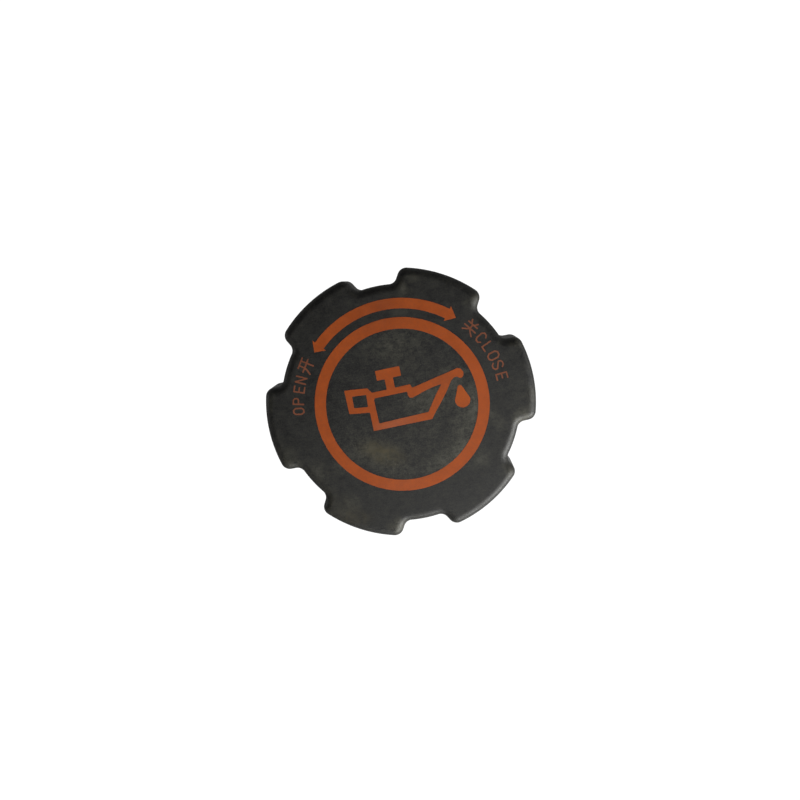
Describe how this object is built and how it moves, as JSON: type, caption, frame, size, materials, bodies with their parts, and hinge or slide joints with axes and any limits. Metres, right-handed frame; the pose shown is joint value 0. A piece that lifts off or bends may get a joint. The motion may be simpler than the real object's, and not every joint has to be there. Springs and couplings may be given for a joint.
{
  "type": "oil filler cap",
  "caption": "Lobed plastic oil filler cap with a hollow bayonet stub, a flat rubber sealing ring and a printed oil-can symbol with turning arrows on top.",
  "frame": {"origin": "on the cap's axis, in the plane where the rubber sealing ring meets the filler neck", "axes": "+Z out of the top of the cap along its axis, +Y to the top of the printed symbol, +X to the symbol's spout"},
  "size_m": [0.068, 0.0658, 0.0221],
  "materials": {
    "cap_plastic": "black glass-filled nylon, fine moulded texture, lightly scuffed",
    "seal_rubber": "black oil-resistant rubber, satin",
    "orange_ink": "matt orange pad-printed ink"
  },
  "bodies": {
    "root": {"cap_body": "cap_plastic", "sealing_ring": "seal_rubber", "printed_marks": "orange_ink"}
  },
  "joints": []
}
